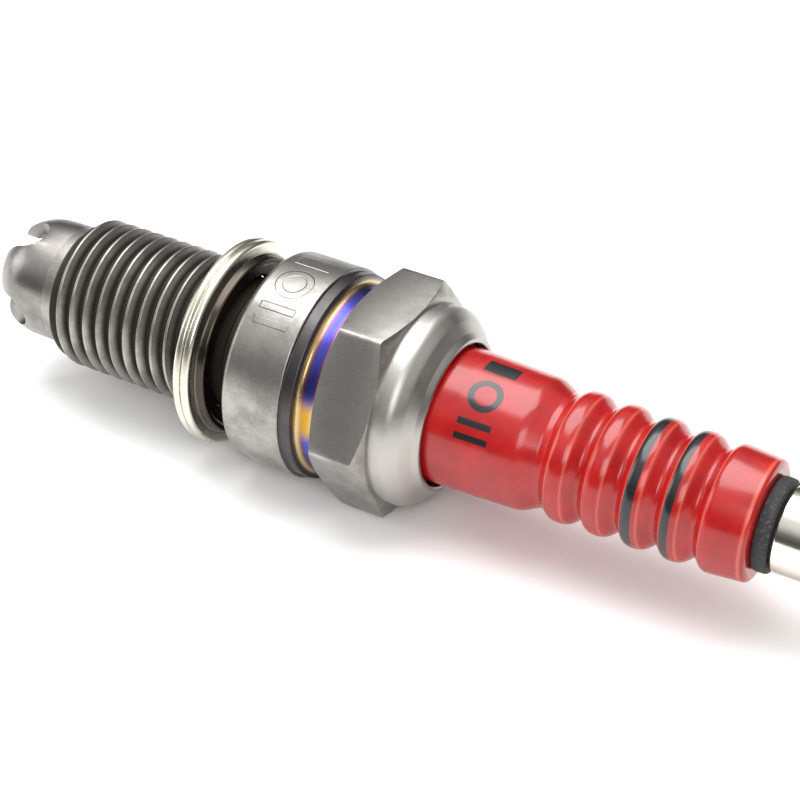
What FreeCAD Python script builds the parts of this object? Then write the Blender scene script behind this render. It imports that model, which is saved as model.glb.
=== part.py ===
"""Spark plug with a screw-on terminal nut, M12 x 1.25 thread and a 16 mm hexagon.

The axis of the plug is +X, towards the terminal, and the origin is the middle of the shell's seat face,
where the loose gasket is pressed.  +Z is up and is normal to two of the hexagon's flats.
All sizes are in millimetres and angles in degrees.
"""
import FreeCAD, Part
import math
import os

import Sketcher

PARTS_FOLDER = "parts"
SHEET = "Sizes"

doc = FreeCAD.newDocument("spark_plug")
sheet = doc.addObject("Spreadsheet::Sheet", SHEET)


class Size:
    """A length or angle as a number, with the expression that works it out from the sheet."""

    def __init__(self, number, text):
        self.number = number
        self.text = text

    def __add__(self, other):
        other = as_size(other)
        return Size(self.number + other.number, f"({self.text} + {other.text})")

    def __sub__(self, other):
        other = as_size(other)
        return Size(self.number - other.number, f"({self.text} - {other.text})")

    def __mul__(self, other):
        other = as_size(other)
        return Size(self.number * other.number, f"({self.text} * {other.text})")

    def __truediv__(self, other):
        other = as_size(other)
        return Size(self.number / other.number, f"({self.text} / {other.text})")

    def __neg__(self):
        return Size(-self.number, f"(0 - {self.text})")


def as_size(value):
    """A plain number as a Size."""
    return value if isinstance(value, Size) else Size(float(value), repr(float(value)))


def root_of(size):
    """The square root of a Size."""
    return Size(math.sqrt(size.number), f"sqrt({size.text})")


cell_count = 0


def cell(alias, number):
    """Write one driving dimension into the sheet and hand it back as a Size."""
    global cell_count
    cell_count += 1
    sheet.set(f"A{cell_count}", alias)
    sheet.set(f"B{cell_count}", str(number))
    sheet.setAlias(f"B{cell_count}", alias)
    return Size(float(number), f"{SHEET}.{alias}")


# Shell, outside, from the firing end to the crimped lip
reach = cell("reach", 19.0)
nose_radius = cell("nose_radius", 4.78)
nose_length = cell("nose_length", 1.2)
thread_crest_radius = cell("thread_crest_radius", 5.93)
thread_pitch = cell("thread_pitch", 1.25)
thread_depth = cell("thread_depth", 0.66)
thread_crest_flat = cell("thread_crest_flat", 0.2)
thread_root_flat = cell("thread_root_flat", 0.22)
thread_lead_in = cell("thread_lead_in", 0.55)
neck_length = cell("neck_length", 4.4)
neck_relief = cell("neck_relief", 0.05)
collar_radius = cell("collar_radius", 8.25)
collar_length = cell("collar_length", 5.0)
collar_edge = cell("collar_edge", 0.5)
step_radius = cell("step_radius", 8.0)
step_length = cell("step_length", 0.9)
groove_radius = cell("groove_radius", 7.3)
groove_length = cell("groove_length", 1.8)
hexagon_flats = cell("hexagon_flats", 16.0)
hexagon_length = cell("hexagon_length", 4.5)
hexagon_chamfer = cell("hexagon_chamfer", 0.62)
lip_wall = cell("lip_wall", 1.25)
lip_straight = cell("lip_straight", 1.3)
lip_height = cell("lip_height", 2.3)
lip_thickness = cell("lip_thickness", 0.9)
lip_gap = cell("lip_gap", 0.3)
lip_curve = cell("lip_curve", 5.0)

# Shell, inside
shell_bore_radius = cell("shell_bore_radius", 6.45)
middle_bore_radius = cell("middle_bore_radius", 4.2)
ledge_radius = cell("ledge_radius", 3.3)
ledge_depth = cell("ledge_depth", 11.5)
ledge_length = cell("ledge_length", 0.7)
seat_slope = cell("seat_slope", 0.65)
bore_step_start = cell("bore_step_start", 0.8)
bore_step_length = cell("bore_step_length", 1.6)

# Ground crown welded to the nose
crown_wall = cell("crown_wall", 1.05)
crown_ring_length = cell("crown_ring_length", 2.1)
crown_dome_radius = cell("crown_dome_radius", 3.9)
crown_hole_radius = cell("crown_hole_radius", 2.7)
crown_slot_width = cell("crown_slot_width", 2.8)
crown_slot_edge = cell("crown_slot_edge", 0.2)
crown_claws = 4
crown_turn = cell("crown_turn", 12.0)

# Gasket
gasket_radius = cell("gasket_radius", 8.12)
gasket_thickness = cell("gasket_thickness", 2.1)
gasket_bore_gap = cell("gasket_bore_gap", 0.2)
gasket_fold_share = cell("gasket_fold_share", 0.57)
gasket_inner_edge = cell("gasket_inner_edge", 0.6)
gasket_end_gap = cell("gasket_end_gap", 0.05)

# Insulator
fit_gap = cell("fit_gap", 0.1)
seat_washer_thickness = cell("seat_washer_thickness", 0.3)
insulator_nose_reveal = cell("insulator_nose_reveal", 3.5)
insulator_tip_radius = cell("insulator_tip_radius", 1.95)
insulator_nose_radius = cell("insulator_nose_radius", 2.9)
shoulder_top = cell("shoulder_top", 9.0)
barrel_radius = cell("barrel_radius", 5.2)
barrel_draft = cell("barrel_draft", 0.2)
barrel_straight_top = cell("barrel_straight_top", 17.0)
barrel_top = cell("barrel_top", 22.3)
barrel_round = cell("barrel_round", 1.35)
rib_count = 4
first_rib = cell("first_rib", 24.85)
rib_pitch = cell("rib_pitch", 2.87)
rib_land = cell("rib_land", 1.05)
rib_radius = cell("rib_radius", 4.88)
rib_taper = cell("rib_taper", 0.045)
rib_groove_radius = cell("rib_groove_radius", 4.12)
rib_fall = cell("rib_fall", 0.85)
rib_groove_flat = cell("rib_groove_flat", 0.3)
cap_length = cell("cap_length", 3.15)
cap_taper = cell("cap_taper", 0.28)
cap_edge = cell("cap_edge", 0.45)
small_bore_radius = cell("small_bore_radius", 1.35)
large_bore_radius = cell("large_bore_radius", 1.95)
bore_change_depth = cell("bore_change_depth", 6.0)

# Inner pieces
electrode_radius = cell("electrode_radius", 1.25)
electrode_head_radius = cell("electrode_head_radius", 1.85)
electrode_head_length = cell("electrode_head_length", 1.4)
electrode_stub_radius = cell("electrode_stub_radius", 1.3)
electrode_stub_length = cell("electrode_stub_length", 0.8)
core_radius = cell("core_radius", 0.75)
core_cover = cell("core_cover", 1.3)
lower_seal_length = cell("lower_seal_length", 3.0)
resistor_length = cell("resistor_length", 8.0)
upper_seal_length = cell("upper_seal_length", 5.6)
stud_root_radius = cell("stud_root_radius", 1.7)
stud_root_depth = cell("stud_root_depth", 3.0)
stud_shank_radius = cell("stud_shank_radius", 1.6)
stud_flange_radius = cell("stud_flange_radius", 2.3)
packing_gap = cell("packing_gap", 0.15)
packing_rise = cell("packing_rise", 0.4)

# Terminal
washer_radius = cell("washer_radius", 3.45)
washer_thickness = cell("washer_thickness", 1.1)
washer_bore_gap = cell("washer_bore_gap", 0.1)
washer_edge = cell("washer_edge", 0.15)
stud_thread_radius = cell("stud_thread_radius", 1.95)
stud_thread_pitch = cell("stud_thread_pitch", 0.7)
stud_thread_depth = cell("stud_thread_depth", 0.34)
stud_recess = cell("stud_recess", 1.4)
nut_bore_gap = cell("nut_bore_gap", 0.05)
nut_length = cell("nut_length", 9.4)
nut_radius = cell("nut_radius", 3.15)
nut_base_length = cell("nut_base_length", 3.0)
nut_waist_radius = cell("nut_waist_radius", 2.5)
nut_waist_length = cell("nut_waist_length", 0.9)
nut_waist_slope = cell("nut_waist_slope", 0.9)
nut_head_length = cell("nut_head_length", 2.3)
nut_edge = cell("nut_edge", 0.3)
nut_top_radius = cell("nut_top_radius", 2.55)
nut_mouth = cell("nut_mouth", 0.3)

# Places worked out from the driving dimensions
nose_start = nose_length - reach
neck_start = -neck_length
neck_radius = thread_crest_radius - thread_depth - neck_relief
groove_start = collar_length + step_length
hexagon_start = groove_start + groove_length
hexagon_end = hexagon_start + hexagon_length
hexagon_corner_radius = hexagon_flats / math.sqrt(3)
lip_radius = shell_bore_radius + lip_wall
lip_bend = hexagon_end + lip_straight
lip_end = lip_bend + lip_height
lip_mouth_radius = barrel_radius + lip_gap
nose_bore_radius = nose_radius - crown_wall
ledge_x = -ledge_depth
ledge_end = ledge_x + (middle_bore_radius - ledge_radius) * seat_slope
middle_insulator_radius = middle_bore_radius - fit_gap
barrel_top_radius = barrel_radius - barrel_draft
packing_wire_radius = (shell_bore_radius - barrel_radius - packing_gap) / 2
shoulder_radius = shell_bore_radius - fit_gap
insulator_seat = ledge_x + seat_washer_thickness
insulator_top = first_rib + rib_pitch * rib_count + cap_length
bore_change = -bore_change_depth
electrode_head_top = bore_change + electrode_head_length
electrode_stub_top = electrode_head_top + electrode_stub_length
lower_seal_top = electrode_head_top + lower_seal_length
resistor_top = lower_seal_top + resistor_length
upper_seal_top = resistor_top + upper_seal_length
stud_foot = upper_seal_top - stud_root_depth
dome_x = -(reach + crown_ring_length)
dome_centre_radius = nose_radius - crown_dome_radius
talc_start = shoulder_top + packing_wire_radius * 2
talc_end = lip_bend + packing_rise - packing_wire_radius * 2
packing_middle = (barrel_radius + shell_bore_radius) / 2
nut_start = insulator_top + washer_thickness
nut_end = nut_start + nut_length
gasket_low = neck_start + gasket_end_gap
gasket_high = gasket_low + gasket_thickness
gasket_bore_radius = neck_radius + gasket_bore_gap


def origin_plane(body, role):
    """The plane or axis of a body's own origin with this role."""
    return [f for f in body.Origin.OriginFeatures if f.Role == role][0]


def new_body(label):
    """A body whose Label names its file."""
    body = doc.addObject("PartDesign::Body", label)
    body.Label = label
    return body


def bind(sketch, kind, geometry, point, size):
    """Tie one coordinate of a sketch point to an expression."""
    index = sketch.addConstraint(Sketcher.Constraint(kind, -1, 1, geometry, point, size.number))
    sketch.setExpression(f"Constraints[{index}]", size.text)


def arc_between(start, end, radius, side):
    """An arc from start to end: side +1 puts its centre to the left of the way from start to end."""
    chord = end - start
    rise = math.sqrt(max(radius**2 - (chord.Length / 2) ** 2, 0.0))
    left = FreeCAD.Vector(-chord.y, chord.x, 0).normalize()
    centre = (start + end) / 2 + left * (rise * side)
    first, last = (start, end) if side > 0 else (end, start)
    first_turn = math.atan2(first.y - centre.y, first.x - centre.x)
    last_turn = math.atan2(last.y - centre.y, last.x - centre.x)
    if last_turn < first_turn:
        last_turn += math.tau
    circle = Part.Circle(centre, FreeCAD.Vector(0, 0, 1), radius)
    return Part.ArcOfCircle(circle, first_turn, last_turn)


def outline(body, name, points, role="XY_Plane"):
    """A closed sketch through points of (axial, radial) sizes.

    A point with a third and fourth value starts an arc of that radius, bulging to that side.
    """
    sketch = body.newObject("Sketcher::SketchObject", name)
    sketch.AttachmentSupport = [(origin_plane(body, role), "")]
    sketch.MapMode = "FlatFace"
    places = [(as_size(p[0]), as_size(p[1])) for p in points]
    corners = [FreeCAD.Vector(x.number, r.number, 0) for x, r in places]
    count = len(points)
    for i, point in enumerate(points):
        start = corners[i]
        end = corners[(i + 1) % count]
        if len(point) > 2:
            sketch.addGeometry(arc_between(start, end, as_size(point[2]).number, point[3]), False)
        else:
            sketch.addGeometry(Part.LineSegment(start, end), False)
    ends = []
    for i in range(count):
        curve = sketch.Geometry[i]
        first = 1
        if (curve.StartPoint - corners[i]).Length > 1e-6:
            first = 2
        ends.append((first, 3 - first))
    for i in range(count):
        after = (i + 1) % count
        joint = Sketcher.Constraint("Coincident", i, ends[i][1], after, ends[after][0])
        sketch.addConstraint(joint)
    for i, (x, r) in enumerate(places):
        bind(sketch, "DistanceX", i, ends[i][0], x)
        bind(sketch, "DistanceY", i, ends[i][0], r)
    for i, point in enumerate(points):
        if len(point) > 2:
            radius = as_size(point[2])
            index = sketch.addConstraint(Sketcher.Constraint("Radius", i, radius.number))
            sketch.setExpression(f"Constraints[{index}]", radius.text)
    doc.recompute()
    return sketch


def revolve(body, name, points):
    """A full turn of an outline about the axis of the plug."""
    sketch = outline(body, f"{name}_outline", points)
    feature = body.newObject("PartDesign::Revolution", name)
    feature.Profile = sketch
    feature.ReferenceAxis = (sketch, ["H_Axis"])
    feature.Angle = 360
    doc.recompute()
    return feature


def lathe(label, points):
    """A body that is one turned outline."""
    body = new_body(label)
    revolve(body, f"{label}_turned", points)
    return body


def cut_thread(body, name, crest, depth, pitch, flats, start, length):
    """A right-hand helical groove along +X, cut from start over length."""
    crest_flat, root_flat = flats
    overshoot = depth * 0.3
    slope = (pitch - crest_flat - root_flat) / (depth * 2)
    outer = root_flat / 2 + (depth + overshoot) * slope
    root = crest - depth
    sketch = outline(body, f"{name}_tooth", [
        (start - outer, crest + overshoot),
        (start - root_flat / 2, root),
        (start + root_flat / 2, root),
        (start + outer, crest + overshoot),
    ])
    helix = body.newObject("PartDesign::SubtractiveHelix", name)
    helix.Profile = sketch
    helix.ReferenceAxis = (sketch, ["H_Axis"])
    helix.Mode = "pitch-height-angle"
    helix.Pitch = pitch.number
    helix.setExpression("Pitch", pitch.text)
    helix.Height = length.number
    helix.setExpression("Height", length.text)
    helix.Angle = 0
    helix.LeftHanded = False
    helix.Reversed = False
    doc.recompute()
    return helix


def make_shell():
    """Steel shell: nose, thread, neck, collar, groove, hexagon and crimped lip, with its stepped bore."""
    body = new_body("shell")
    lead = thread_crest_radius - thread_lead_in
    lip_inner_bend = lip_bend + lip_thickness * 0.25
    revolve(body, "shell_turned", [
        (-reach, nose_bore_radius),
        (-reach, nose_radius),
        (nose_start, nose_radius),
        (nose_start, lead),
        (nose_start + thread_lead_in, thread_crest_radius),
        (neck_start, thread_crest_radius),
        (neck_start, neck_radius),
        (0.0, neck_radius),
        (0.0, collar_radius - collar_edge, collar_edge, -1),
        (collar_edge, collar_radius),
        (collar_length - collar_edge / 2, collar_radius),
        (collar_length, step_radius),
        (groove_start, step_radius),
        (groove_start, groove_radius),
        (hexagon_start, groove_radius),
        (hexagon_start, hexagon_flats / 2),
        (hexagon_start + hexagon_chamfer, hexagon_corner_radius),
        (hexagon_end - hexagon_chamfer, hexagon_corner_radius),
        (hexagon_end, hexagon_flats / 2),
        (hexagon_end, lip_radius),
        (lip_bend, lip_radius, lip_curve, -1),
        (lip_end, lip_mouth_radius),
        (lip_end - lip_thickness, lip_mouth_radius),
        (lip_inner_bend, shell_bore_radius),
        (bore_step_start + bore_step_length, shell_bore_radius),
        (bore_step_start, middle_bore_radius),
        (ledge_end, middle_bore_radius),
        (ledge_x, ledge_radius),
        (ledge_x - ledge_length, ledge_radius),
        (ledge_x - ledge_length * 1.6, nose_bore_radius),
    ])
    sketch = hexagon_ring(body)
    pocket = body.newObject("PartDesign::Pocket", "shell_flats")
    pocket.Profile = sketch
    pocket.Type = "Length"
    pocket.Length = hexagon_length.number
    pocket.setExpression("Length", hexagon_length.text)
    doc.recompute()
    start = nose_start - thread_pitch
    run = neck_start - nose_start + thread_pitch * 2
    flats = (thread_crest_flat, thread_root_flat)
    cut_thread(body, "shell_thread", thread_crest_radius, thread_depth, thread_pitch, flats, start, run)
    return body


def hexagon_ring(body):
    """A circle round a hexagon with two flats square to Z, at the hexagon's outer end."""
    sketch = body.newObject("Sketcher::SketchObject", "shell_flats_outline")
    sketch.AttachmentSupport = [(origin_plane(body, "YZ_Plane"), "")]
    sketch.MapMode = "FlatFace"
    sketch.setExpression("AttachmentOffset.Base.z", hexagon_end.text)
    corners = []
    for k in range(6):
        turn = math.radians(60 * k)
        corners.append((hexagon_corner_radius * round(math.cos(turn), 9),
                        hexagon_corner_radius * round(math.sin(turn), 9)))
    points = [FreeCAD.Vector(y.number, z.number, 0) for y, z in corners]
    for k in range(6):
        sketch.addGeometry(Part.LineSegment(points[k], points[(k + 1) % 6]), False)
    for k in range(6):
        sketch.addConstraint(Sketcher.Constraint("Coincident", k, 2, (k + 1) % 6, 1))
    for k, (y, z) in enumerate(corners):
        bind(sketch, "DistanceX", k, 1, y)
        bind(sketch, "DistanceY", k, 1, z)
    reach_out = hexagon_corner_radius * 1.4
    circle = Part.Circle(FreeCAD.Vector(0, 0, 0), FreeCAD.Vector(0, 0, 1), reach_out.number)
    sketch.addGeometry(circle, False)
    sketch.addConstraint(Sketcher.Constraint("Coincident", 6, 3, -1, 1))
    index = sketch.addConstraint(Sketcher.Constraint("Radius", 6, reach_out.number))
    sketch.setExpression(f"Constraints[{index}]", reach_out.text)
    doc.recompute()
    return sketch


def dome_x_at(radius, dome_radius):
    """Where an arc of the crown's dome reaches this distance from the axis."""
    rise = radius - dome_centre_radius
    return dome_x - root_of(dome_radius * dome_radius - rise * rise)


def make_crown():
    """Nickel-alloy crown: a ring that closes into a dome, slotted into claws around its hole."""
    body = new_body("ground_crown")
    inner_dome = crown_dome_radius - crown_wall
    revolve(body, "crown_turned", [
        (-reach, nose_bore_radius),
        (-reach, nose_radius),
        (dome_x, nose_radius, crown_dome_radius, 1),
        (dome_x_at(crown_hole_radius, crown_dome_radius), crown_hole_radius),
        (dome_x_at(crown_hole_radius, inner_dome), crown_hole_radius, inner_dome, -1),
        (dome_x, nose_bore_radius),
    ])
    half = crown_slot_width / 2
    bottom = dome_x + crown_slot_edge
    far = dome_x - crown_dome_radius * 1.5
    sketch = outline(body, "crown_slot_outline", [
        (far, -half),
        (bottom - half, -half, half, 1),
        (bottom, 0.0, half, 1),
        (bottom - half, half),
        (far, half),
    ], role="XZ_Plane")
    pocket = body.newObject("PartDesign::Pocket", "crown_slot")
    pocket.Profile = sketch
    pocket.Type = "Length"
    slot_reach = nose_radius * 1.5
    pocket.Length = slot_reach.number
    pocket.setExpression("Length", slot_reach.text)
    doc.recompute()
    pattern = body.newObject("PartDesign::PolarPattern", "crown_slots")
    pattern.Originals = [pocket]
    pattern.Axis = (origin_plane(body, "X_Axis"), [""])
    pattern.Angle = 360
    pattern.Occurrences = crown_claws
    body.Tip = pattern
    doc.recompute()
    body.Placement = FreeCAD.Placement(FreeCAD.Vector(), FreeCAD.Rotation(FreeCAD.Vector(1, 0, 0), 1))
    body.setExpression("Placement.Rotation.Angle", crown_turn.text)
    doc.recompute()
    return body


def make_gasket():
    """Folded sheet-steel ring, loose on the neck: two rounded folds with a crease between them."""
    half = gasket_thickness / 2
    fold = half * gasket_fold_share
    land = gasket_radius - fold
    over_fold = half - fold
    crease = land + root_of(fold * fold - over_fold * over_fold)
    inner_land = gasket_bore_radius + gasket_inner_edge
    return lathe("gasket", [
        (gasket_low, inner_land),
        (gasket_low, land, fold, -1),
        (gasket_low + half, crease, fold, -1),
        (gasket_high, land),
        (gasket_high, inner_land),
        (gasket_high - gasket_inner_edge, gasket_bore_radius),
        (gasket_low + gasket_inner_edge, gasket_bore_radius),
    ])


def rib_points():
    """The outline of the ribs, from the first groove to the last."""
    points = []
    for k in range(rib_count):
        start = first_rib + rib_pitch * k
        crest = rib_radius - rib_taper * k
        groove = rib_groove_radius - rib_taper * k
        low = start + rib_land + rib_fall
        points.append((start, crest))
        points.append((start + rib_land, crest))
        points.append((low, groove))
        points.append((low + rib_groove_flat, groove))
    return points


def make_insulator():
    """Glazed alumina insulator: nose, seat, large shoulder, barrel, ribs and cap, with its stepped bore."""
    tip = -(reach + insulator_nose_reveal)
    tip_round = (insulator_tip_radius - small_bore_radius) * 0.5
    seat_rise = (middle_insulator_radius - ledge_radius) * seat_slope
    seat_drop = (ledge_radius - insulator_nose_radius) * seat_slope
    cap_start = first_rib + rib_pitch * rib_count
    cap_radius = rib_radius - rib_taper * rib_count
    first_groove = rib_groove_radius + rib_taper * 4
    before_rib = first_rib - rib_land
    points = [
        (tip, small_bore_radius),
        (tip, insulator_tip_radius - tip_round, tip_round, -1),
        (tip + tip_round, insulator_tip_radius),
        (insulator_seat - seat_drop, insulator_nose_radius),
        (insulator_seat + seat_rise, middle_insulator_radius),
        (bore_step_start + fit_gap * 2, middle_insulator_radius),
        (bore_step_start + bore_step_length + fit_gap * 2, shoulder_radius),
        (shoulder_top, shoulder_radius),
        (shoulder_top, barrel_radius),
        (barrel_straight_top, barrel_radius),
        (barrel_top, barrel_top_radius, barrel_round, -1),
        (before_rib, first_groove),
        (before_rib + rib_groove_flat, first_groove),
    ]
    points += rib_points()
    points += [
        (cap_start, cap_radius),
        (insulator_top - cap_edge, cap_radius - cap_taper, cap_edge, -1),
        (insulator_top, cap_radius - cap_taper - cap_edge),
        (insulator_top, large_bore_radius),
        (bore_change, large_bore_radius),
        (bore_change, small_bore_radius),
    ]
    return lathe("insulator", points)


def make_seat_washer():
    """Thin conical steel ring between the shell's ledge and the insulator's seat."""
    inner = ledge_radius + fit_gap
    outer = middle_bore_radius - fit_gap
    inner_x = ledge_x + fit_gap * seat_slope
    outer_x = ledge_x + (outer - ledge_radius) * seat_slope
    return lathe("seat_washer", [
        (inner_x, inner),
        (outer_x, outer),
        (outer_x + seat_washer_thickness, outer),
        (inner_x + seat_washer_thickness, inner),
    ])


def make_wire_ring(label, middle):
    """A round wire ring that packs the talc, set round the insulator's barrel."""
    body = new_body(label)
    sketch = body.newObject("Sketcher::SketchObject", f"{label}_wire")
    sketch.AttachmentSupport = [(origin_plane(body, "XY_Plane"), "")]
    sketch.MapMode = "FlatFace"
    centre = FreeCAD.Vector(middle.number, packing_middle.number, 0)
    sketch.addGeometry(Part.Circle(centre, FreeCAD.Vector(0, 0, 1), packing_wire_radius.number), False)
    bind(sketch, "DistanceX", 0, 3, middle)
    bind(sketch, "DistanceY", 0, 3, packing_middle)
    index = sketch.addConstraint(Sketcher.Constraint("Radius", 0, packing_wire_radius.number))
    sketch.setExpression(f"Constraints[{index}]", packing_wire_radius.text)
    doc.recompute()
    ring = body.newObject("PartDesign::Revolution", f"{label}_ring")
    ring.Profile = sketch
    ring.ReferenceAxis = (sketch, ["H_Axis"])
    ring.Angle = 360
    doc.recompute()
    return body


def make_talc():
    """Pressed talc between the two wire rings, which seals the insulator in the shell."""
    return lathe("talc_packing", [
        (talc_start, barrel_radius),
        (talc_start, shell_bore_radius),
        (talc_end, shell_bore_radius),
        (talc_end, barrel_radius),
    ])


def make_electrode():
    """Nickel-alloy centre electrode: a long pin with a flanged head, bored for its copper core."""
    tip = dome_x_at(crown_hole_radius, crown_dome_radius)
    return lathe("centre_electrode", [
        (tip, 0.0),
        (tip, electrode_radius),
        (bore_change, electrode_radius),
        (bore_change, electrode_head_radius),
        (electrode_head_top, electrode_head_radius),
        (electrode_head_top, electrode_stub_radius),
        (electrode_stub_top, electrode_stub_radius),
        (electrode_stub_top, core_radius),
        (tip + core_cover + core_radius, core_radius, core_radius, 1),
        (tip + core_cover, 0.0),
    ])


def make_core():
    """Copper core of the centre electrode, with a round lower end."""
    tip = dome_x_at(crown_hole_radius, crown_dome_radius) + core_cover
    return lathe("electrode_core", [
        (electrode_stub_top, 0.0),
        (electrode_stub_top, core_radius),
        (tip + core_radius, core_radius, core_radius, 1),
        (tip, 0.0),
    ])


def make_lower_seal():
    """Conductive glass that seals the electrode's head into the bore."""
    return lathe("lower_glass_seal", [
        (electrode_head_top, electrode_stub_radius),
        (electrode_head_top, large_bore_radius),
        (lower_seal_top, large_bore_radius),
        (lower_seal_top, 0.0),
        (electrode_stub_top, 0.0),
        (electrode_stub_top, electrode_stub_radius),
    ])


def make_resistor():
    """Suppressor resistor between the two glass seals."""
    return lathe("resistor", [
        (lower_seal_top, 0.0),
        (lower_seal_top, large_bore_radius),
        (resistor_top, large_bore_radius),
        (resistor_top, 0.0),
    ])


def make_upper_seal():
    """Conductive glass that grips the foot of the terminal stud."""
    return lathe("upper_glass_seal", [
        (resistor_top, 0.0),
        (resistor_top, large_bore_radius),
        (upper_seal_top, large_bore_radius),
        (upper_seal_top, stud_root_radius),
        (stud_foot, stud_root_radius),
        (stud_foot, 0.0),
    ])


def make_stud():
    """Steel terminal stud: foot, shank, flange on the insulator's top and threaded end."""
    body = new_body("terminal_stud")
    flange_top = nut_start - fit_gap / 2
    stud_end = nut_end - stud_recess
    end_chamfer = stud_thread_depth
    revolve(body, "stud_turned", [
        (stud_foot, 0.0),
        (stud_foot, stud_root_radius),
        (upper_seal_top + fit_gap, stud_root_radius),
        (upper_seal_top + fit_gap, stud_shank_radius),
        (insulator_top, stud_shank_radius),
        (insulator_top, stud_flange_radius),
        (flange_top, stud_flange_radius),
        (flange_top, stud_thread_radius - stud_thread_depth - neck_relief),
        (flange_top + stud_thread_pitch, stud_thread_radius - stud_thread_depth - neck_relief),
        (flange_top + stud_thread_pitch, stud_thread_radius),
        (stud_end - end_chamfer, stud_thread_radius),
        (stud_end, stud_thread_radius - end_chamfer),
        (stud_end, 0.0),
    ])
    flat = stud_thread_pitch * 0.125
    start = flange_top + stud_thread_pitch * 0.62
    run = stud_end - start + stud_thread_pitch
    cut_thread(body, "stud_thread", stud_thread_radius, stud_thread_depth, stud_thread_pitch,
               (flat, flat), start, run)
    return body


def make_terminal_washer():
    """Black rubber ring between the insulator's top and the terminal nut."""
    bore = stud_flange_radius + washer_bore_gap
    return lathe("terminal_washer", [
        (insulator_top, bore),
        (insulator_top, washer_radius - washer_edge),
        (insulator_top + washer_edge, washer_radius),
        (nut_start - washer_edge, washer_radius),
        (nut_start, washer_radius - washer_edge),
        (nut_start, bore),
    ])


def make_terminal_nut():
    """Screw-on terminal nut: base, waist for the cap's clip and rounded head, bored right through."""
    bore = stud_thread_radius + nut_bore_gap
    waist_start = nut_start + nut_base_length + nut_waist_slope
    waist_end = waist_start + nut_waist_length
    head_start = waist_end + nut_waist_slope
    head_end = head_start + nut_head_length
    crown = nut_end - head_end
    crown_drop = nut_radius - nut_top_radius
    crown_curve = (crown * crown + crown_drop * crown_drop) / (crown_drop * 2)
    return lathe("terminal_nut", [
        (nut_start, bore + nut_mouth),
        (nut_start, nut_radius - nut_edge),
        (nut_start + nut_edge, nut_radius),
        (nut_start + nut_base_length, nut_radius),
        (waist_start, nut_waist_radius),
        (waist_end, nut_waist_radius),
        (head_start, nut_radius),
        (head_end, nut_radius, crown_curve, -1),
        (nut_end, nut_top_radius),
        (nut_end, bore + nut_mouth),
        (nut_end - nut_mouth, bore),
        (nut_start + nut_mouth, bore),
    ])


def check_and_write(bodies):
    """Check every object and every shape, then write one file for each node."""
    faults = []
    for item in doc.Objects:
        if "Invalid" in item.State or "Error" in item.State:
            faults.append(f"{item.Label}: {item.State}")
    for body in bodies:
        shape = body.Shape
        if shape.isNull() or not shape.isValid() or len(shape.Solids) != 1:
            faults.append(f"{body.Label}: shape is null, not valid or not one solid")
    if faults:
        raise RuntimeError("; ".join(faults))
    os.makedirs(PARTS_FOLDER, exist_ok=True)
    for body in bodies:
        body.Shape.exportStep(os.path.join(PARTS_FOLDER, f"{body.Label}.step"))
        box = body.Shape.BoundBox
        print(f"{body.Label}: {body.Shape.Volume:.2f} mm3, x {box.XMin:.2f} to {box.XMax:.2f}")


def main():
    """Build every piece, from the firing end to the terminal."""
    lower_ring = shoulder_top + packing_wire_radius
    upper_ring = talc_end + packing_wire_radius
    bodies = [
        make_shell(),
        make_crown(),
        make_gasket(),
        make_insulator(),
        make_seat_washer(),
        make_wire_ring("lower_packing_ring", lower_ring),
        make_talc(),
        make_wire_ring("upper_packing_ring", upper_ring),
        make_electrode(),
        make_core(),
        make_lower_seal(),
        make_resistor(),
        make_upper_seal(),
        make_stud(),
        make_terminal_washer(),
        make_terminal_nut(),
    ]
    doc.recompute()
    check_and_write(bodies)


main()
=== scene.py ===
"""Finished look of a spark plug: plated shell, claw crown, folded gasket, red glazed insulator and terminal.
"""

import logging
import math
from collections.abc import Callable
from dataclasses import dataclass
from enum import Enum

import bmesh
import bpy
from bpy.types import Material, Node, NodeSocket, NodeTree, Object
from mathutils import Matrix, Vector


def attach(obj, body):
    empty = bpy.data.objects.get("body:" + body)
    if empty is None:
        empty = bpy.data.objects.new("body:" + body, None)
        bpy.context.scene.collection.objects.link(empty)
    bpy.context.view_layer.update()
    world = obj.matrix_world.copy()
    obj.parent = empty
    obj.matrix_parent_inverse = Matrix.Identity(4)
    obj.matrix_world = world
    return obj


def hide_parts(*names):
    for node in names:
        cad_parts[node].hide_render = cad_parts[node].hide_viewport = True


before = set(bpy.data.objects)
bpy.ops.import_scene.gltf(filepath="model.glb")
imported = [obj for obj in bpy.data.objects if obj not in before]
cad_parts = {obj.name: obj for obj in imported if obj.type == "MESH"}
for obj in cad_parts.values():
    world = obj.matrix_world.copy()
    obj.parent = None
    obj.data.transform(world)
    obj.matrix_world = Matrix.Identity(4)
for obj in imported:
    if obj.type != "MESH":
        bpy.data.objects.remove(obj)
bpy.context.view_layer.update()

LOG = logging.getLogger("spark_plug")
MM = 0.001
ROUND_STEPS = 144
THREAD_STEPS = 96
THIN_STEPS = 64
NUT_STEPS = 112
THREAD_CREASE = 32.0
ROUND_CREASE = 40.0
MERGE = 1e-7
MM_PER_M = 1000.0
INK_SOFT = 0.04

Outline = list[tuple[float, float]]
Colour = tuple[float, float, float]
Groups = dict[str, NodeTree]
Layers = tuple[NodeSocket, NodeSocket, NodeSocket]


class Body(Enum):
    """The rigid bodies that the pieces ride on."""

    PLUG = "plug"
    GASKET = "gasket_ring"
    WASHER = "washer"
    NUT = "nut"


class Slot(Enum):
    """The record's material slots."""

    STEEL = "plated_steel"
    CROWN = "electrode_alloy"
    GASKET = "gasket_steel"
    GLAZE = "red_glaze"
    STUD = "stud_steel"
    RUBBER = "black_rubber"
    NICKEL = "nut_nickel"


# ----------------------------------------
# Mesh making
# ----------------------------------------


def clear_selection() -> None:
    """Deselect every object."""
    bpy.ops.object.select_all(action="DESELECT")


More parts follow.
